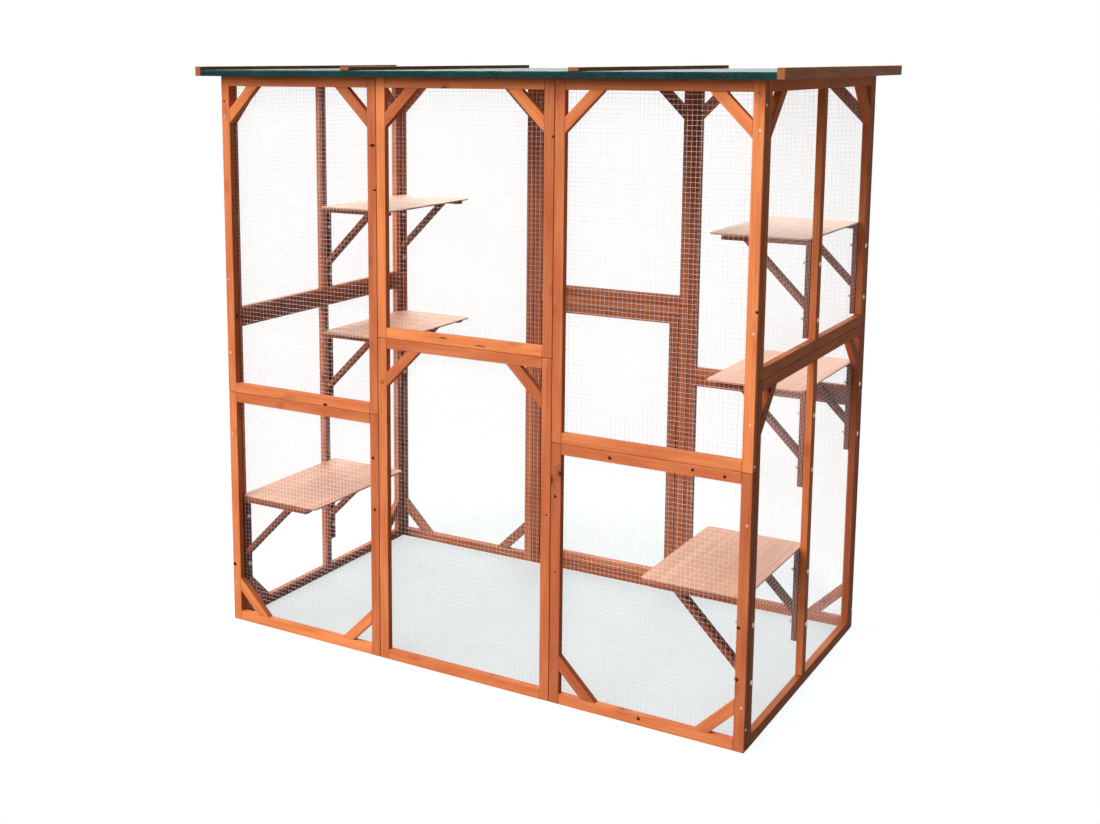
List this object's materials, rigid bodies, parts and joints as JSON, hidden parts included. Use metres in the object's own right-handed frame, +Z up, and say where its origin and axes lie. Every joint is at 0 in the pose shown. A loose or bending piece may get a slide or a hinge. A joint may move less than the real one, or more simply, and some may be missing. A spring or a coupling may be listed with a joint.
{
  "type": "outdoor animal enclosure",
  "caption": "Walk-in timber animal enclosure with welded-wire panels, a flat felted roof, corner shelves on brackets and a hinged door with a sliding bolt.",
  "frame": {"origin": "on the ground, in the middle of the plan", "axes": "+X along the width, to the right seen from the front; +Y from the front wall to the wall with the door; +Z up"},
  "size_m": [1.8, 1.05, 1.728],
  "materials": {
    "stained_timber": "orange-brown stain over softwood with grain and knots",
    "bracket_timber": "the same stain, a little darker",
    "roof_timber": "the same stain, weathered pale on the top edges",
    "shelf_board": "pale plywood with a light stain",
    "deck_board": "plywood",
    "roof_felt": "green mineral felt, rough and matte",
    "welded_wire": "galvanised, satin",
    "bolt_steel": "zinc plated, bright",
    "hinge_steel": "zinc plated, satin",
    "latch_steel": "zinc plated, satin"
  },
  "bodies": {
    "enclosure": {"front_left_lower_panel": "stained_timber", "front_left_lower_net": "welded_wire", "front_left_upper_panel": "stained_timber", "front_left_upper_net": "welded_wire", "front_centre_lower_panel": "stained_timber", "front_centre_lower_net": "welded_wire", "front_centre_upper_panel": "stained_timber", "front_centre_upper_net": "welded_wire", "front_right_lower_panel": "stained_timber", "front_right_lower_net": "welded_wire", "front_right_upper_panel": "stained_timber", "front_right_upper_net": "welded_wire", "back_left_lower_panel": "stained_timber", "back_left_lower_net": "welded_wire", "back_left_upper_panel": "stained_timber", "back_left_upper_net": "welded_wire", "back_door_frame": "stained_timber", "back_centre_upper_panel": "stained_timber", "back_centre_upper_net": "welded_wire", "back_right_lower_panel": "stained_timber", "back_right_lower_net": "welded_wire", "back_right_upper_panel": "stained_timber", "back_right_upper_net": "welded_wire", "left_lower_panel": "stained_timber", "left_lower_net": "welded_wire", "left_upper_panel": "stained_timber", "left_upper_net": "welded_wire", "left_upper_shelf": "shelf_board", "left_upper_shelf_brackets": "bracket_timber", "left_middle_shelf": "shelf_board", "left_middle_shelf_brackets": "bracket_timber", "left_lower_shelf": "shelf_board", "left_lower_shelf_brackets": "bracket_timber", "right_lower_panel": "stained_timber", "right_lower_net": "welded_wire", "right_upper_panel": "stained_timber", "right_upper_net": "welded_wire", "right_upper_shelf": "shelf_board", "right_upper_shelf_brackets": "bracket_timber", "right_middle_shelf": "shelf_board", "right_middle_shelf_brackets": "bracket_timber", "right_lower_shelf": "shelf_board", "right_lower_shelf_brackets": "bracket_timber", "bracket_bolts": "bolt_steel", "roof_left_deck": "deck_board", "roof_left_felt": "roof_felt", "roof_centre_deck": "deck_board", "roof_centre_felt": "roof_felt", "roof_right_deck": "deck_board", "roof_right_felt": "roof_felt", "roof_side_boards": "roof_timber", "roof_cover_strips": "roof_timber", "hinge_frame_leaves": "hinge_steel", "hinge_pins": "hinge_steel", "bolt_keeper": "latch_steel"},
    "door": {"door_leaf": "stained_timber", "door_net": "welded_wire", "hinge_door_leaves": "hinge_steel", "bolt_base": "latch_steel"},
    "bolt": {"bolt_rod": "latch_steel"}
  },
  "joints": [
    {"name": "door_swing", "type": "hinge", "parent": "enclosure", "child": "door", "pos_m": [-0.2482, 0.4835, 0.482], "axis": [0, 0, 1], "range_deg": [0, 110]},
    {"name": "bolt_slide", "type": "slide", "parent": "door", "child": "bolt", "axis": [1, 0, 0], "range_m": [0, 0.018]}
  ]
}
